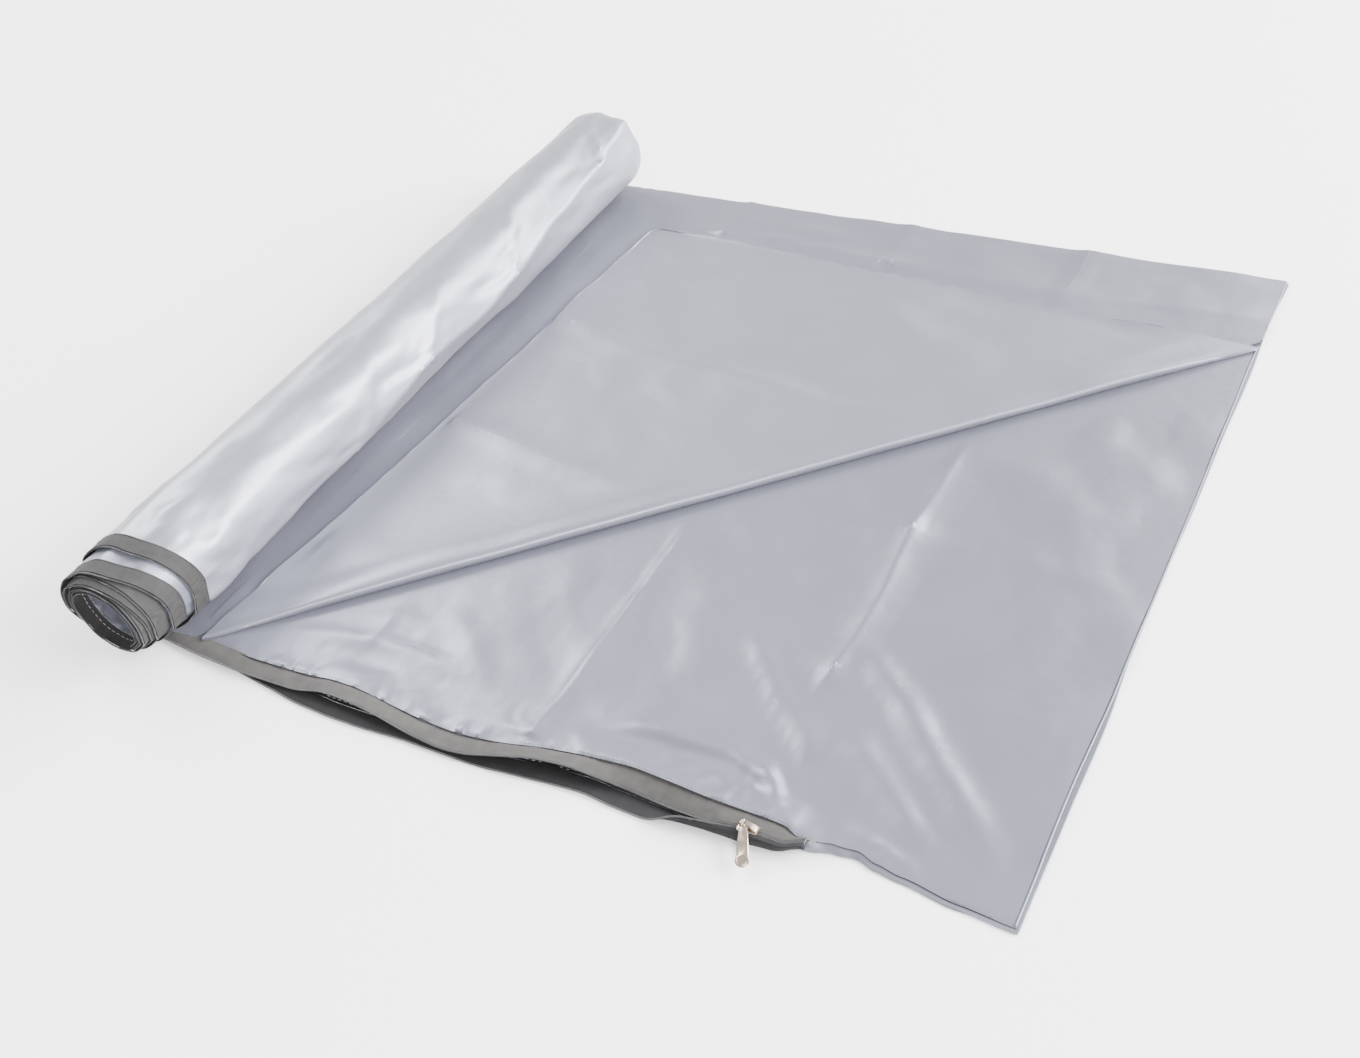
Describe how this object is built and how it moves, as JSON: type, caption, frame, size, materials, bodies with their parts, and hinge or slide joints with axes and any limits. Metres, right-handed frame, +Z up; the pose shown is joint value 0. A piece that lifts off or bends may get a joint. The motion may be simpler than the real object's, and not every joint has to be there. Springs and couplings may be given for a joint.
{
  "type": "infrared sauna blanket cover",
  "caption": "Zipped satin outer cover of an infrared sauna blanket, folded in half lengthwise and half rolled up, with one corner folded back and the zip partly open.",
  "frame": {"origin": "centre of the part's footprint on the surface it lies on", "axes": "+X from the roll to the foot end, +Y from the zipped near edge to the folded far edge, +Z up"},
  "size_m": [0.824, 0.845, 0.1019],
  "materials": {
    "satin_silver": "silver-grey satin weave with a soft directional sheen",
    "tape_grey": "matt woven zip tape, taupe grey",
    "coil_dark": "moulded nylon coil, dark grey",
    "thread_grey": "twisted sewing thread",
    "slider_metal": "die-cast slider with pale nickel plating"
  },
  "bodies": {
    "cover": {"outer_panel_floor": "satin_silver", "inner_panel_floor": "satin_silver", "inner_panel_top": "satin_silver", "outer_panel_top": "satin_silver", "outer_panel_far_fold": "satin_silver", "inner_panel_far_fold": "satin_silver", "outer_panel_floor_roll": "satin_silver", "inner_panel_floor_roll": "satin_silver", "inner_panel_top_roll": "satin_silver", "outer_panel_top_roll": "satin_silver", "far_fold_roll": "satin_silver", "head_seam_floor": "satin_silver", "head_seam_top": "satin_silver", "foot_seam_floor": "satin_silver", "foot_seam_top": "satin_silver", "near_seam": "satin_silver", "zip_tape_lower": "tape_grey", "zip_tape_upper": "tape_grey", "zip_coil_lower": "coil_dark", "zip_coil_upper": "coil_dark", "zip_tape_lower_turn": "tape_grey", "zip_coil_lower_turn": "coil_dark", "zip_tape_upper_slope": "tape_grey", "zip_coil_upper_slope": "coil_dark", "zip_tape_lower_roll": "tape_grey", "zip_tape_upper_roll": "tape_grey", "zip_coil_lower_roll": "coil_dark", "zip_coil_upper_roll": "coil_dark", "zip_top_stop_lower": "slider_metal", "zip_top_stop_upper": "slider_metal", "zip_bottom_stop": "slider_metal", "bar_tack": "thread_grey", "tape_stitching_upper": "thread_grey", "tape_stitching_lower": "thread_grey"},
    "slider": {"slider_body": "slider_metal", "slider_crown": "slider_metal"},
    "puller": {"pull_tab": "slider_metal"},
    "corner_flap": {"flap_fold": "satin_silver", "flap_outer_panel": "satin_silver", "flap_inner_panel": "satin_silver", "flap_foot_seam": "satin_silver", "flap_long_seam": "satin_silver"}
  },
  "joints": [
    {"name": "zip_slide", "type": "slide", "parent": "cover", "child": "slider", "axis": [1, 0, 0], "range_m": [-0.42, 0.025]},
    {"name": "puller_hinge", "type": "hinge", "parent": "slider", "child": "puller", "pos_m": [0.21338, -0.3775, 0.015], "axis": [-1, 0, 0], "range_deg": [0, 195]},
    {"name": "corner_fold", "type": "hinge", "parent": "cover", "child": "corner_flap", "pos_m": [-0.31623, -0.37407, 0.0068], "axis": [0.7304, 0.683, 0], "range_deg": [0, 170]}
  ]
}
